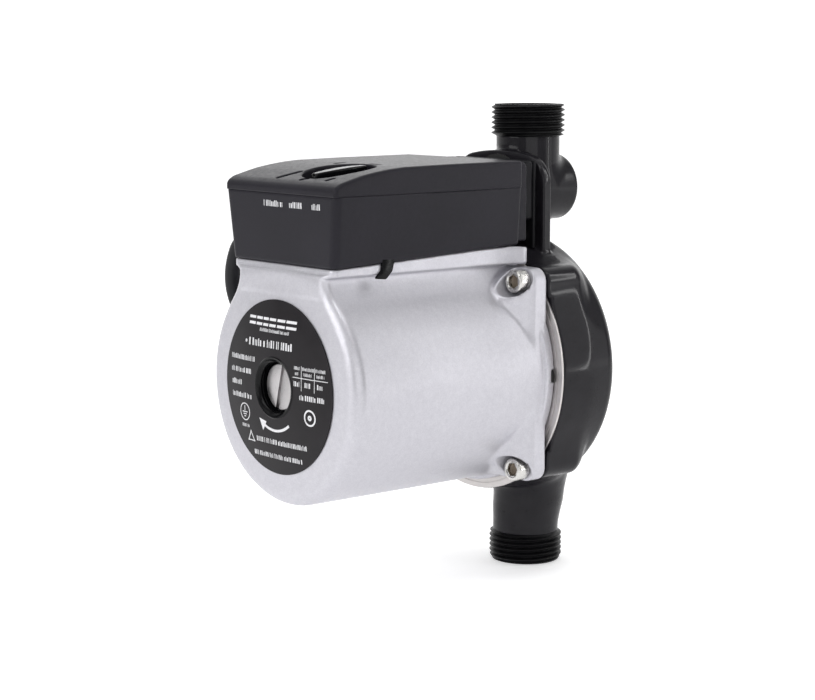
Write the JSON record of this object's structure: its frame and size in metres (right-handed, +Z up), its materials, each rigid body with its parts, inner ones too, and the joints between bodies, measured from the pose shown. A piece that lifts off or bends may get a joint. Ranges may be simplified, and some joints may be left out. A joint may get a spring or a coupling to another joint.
{
  "type": "circulator pump",
  "caption": "Compact in-line circulator pump: threaded ports above and below a black casting, silver motor with a vent plug, and a terminal box with a three-position selector.",
  "frame": {"origin": "centre of the inlet port's end face, at the bottom of the casting", "axes": "+Z up the pipe line from the inlet to the outlet port; the motor's axis runs towards -Y and its name plate faces -Y; +X is to the right when facing the name plate"},
  "size_m": [0.1289, 0.1632, 0.21],
  "materials": {
    "black_cast_paint": "semi-gloss over as-cast texture",
    "silver_painted_aluminium": "satin metallic paint on die-cast aluminium",
    "charcoal_plastic": "fine spark-eroded texture",
    "black_plastic": "satin",
    "stainless_steel": "bright machined",
    "bearing_plate_steel": "dull pressed sheet",
    "nickel_plated_brass": "nickel plated, turned",
    "black_rubber": "matt",
    "enamelled_copper": "enamelled wire",
    "electrical_steel": "stacked sheet edges",
    "graphite_ceramic": "fine ground",
    "alumina_ceramic": "ground and polished",
    "brass": "turned",
    "glass_filled_polymer": "moulded",
    "label_black": "printed satin film",
    "board_green": "solder mask",
    "capacitor_case": "moulded",
    "reed_glass": "clear",
    "ferrite": "sintered",
    "terminal_cream": "moulded",
    "cable_sheath": "satin sheath"
  },
  "bodies": {
    "pump_body": {"bearing_plate": "bearing_plate_steel", "cable_gland_body": "black_plastic", "cable_gland_nut": "black_plastic", "can_seal": "black_rubber", "capacitor": "capacitor_case", "control_board": "board_green", "earth_screw": "brass", "flow_switch_base": "black_plastic", "flow_switch_cover": "black_plastic", "flow_switch_gasket": "black_rubber", "flow_switch_screw_1": "stainless_steel", "flow_switch_screw_2": "stainless_steel", "flow_switch_screw_3": "stainless_steel", "flow_switch_screw_4": "stainless_steel", "front_bearing": "graphite_ceramic", "gland_seal": "black_rubber", "housing_gasket": "black_rubber", "lead_grommet": "black_rubber", "lid_gasket": "black_rubber", "mode_switch_body": "terminal_cream", "motor_housing": "silver_painted_aluminium", "motor_screw_1": "stainless_steel", "motor_screw_2": "stainless_steel", "motor_screw_3": "stainless_steel", "motor_screw_4": "stainless_steel", "nameplate": "label_black", "paddle_pin": "stainless_steel", "power_cable": "cable_sheath", "pump_housing": "black_cast_paint", "rear_bearing": "graphite_ceramic", "reed_switch": "reed_glass", "rotor_can": "stainless_steel", "stator_core": "electrical_steel", "terminal_block": "terminal_cream", "terminal_box_base": "charcoal_plastic", "terminal_box_lid": "charcoal_plastic", "terminal_box_screw_1": "stainless_steel", "terminal_box_screw_2": "stainless_steel", "wear_ring": "stainless_steel", "winding_front": "enamelled_copper", "winding_rear": "enamelled_copper"},
    "rotor": {"rotor_core": "stainless_steel", "rotor_shaft": "alumina_ceramic", "thrust_washer": "alumina_ceramic", "impeller": "glass_filled_polymer", "impeller_nut": "brass"},
    "vent_seal": {"vent_plug_oring": "black_rubber"},
    "vent_plug": {"vent_plug": "nickel_plated_brass"},
    "selector": {"mode_selector_knob": "black_plastic"},
    "flow_paddle": {"flow_paddle": "glass_filled_polymer", "paddle_magnet": "ferrite"}
  },
  "joints": [
    {"name": "rotor_spin", "type": "hinge", "parent": "pump_body", "child": "rotor", "pos_m": [0, -0.08, 0.0945], "axis": [0, 1, 0], "continuous": true},
    {"name": "vent_travel", "type": "slide", "parent": "pump_body", "child": "vent_seal", "axis": [0, -1, 0], "range_m": [0, 0.0061]},
    {"name": "vent_turn", "type": "hinge", "parent": "vent_seal", "child": "vent_plug", "pos_m": [0, -0.139, 0.0945], "axis": [0, -1, 0], "range_deg": [0, 1440]},
    {"name": "selector_turn", "type": "hinge", "parent": "pump_body", "child": "selector", "pos_m": [0.012, -0.118, 0.1774], "axis": [0, -0.0958, 0.9954], "range_deg": [-37, 37]},
    {"name": "paddle_swing", "type": "hinge", "parent": "pump_body", "child": "flow_paddle", "pos_m": [0, -0.0132, 0.1648], "axis": [1, 0, 0], "range_deg": [0, 50]}
  ],
  "couplings": [
    {"joint": "vent_travel", "follows": "vent_turn", "m_per_rad": 0.00023873}
  ]
}
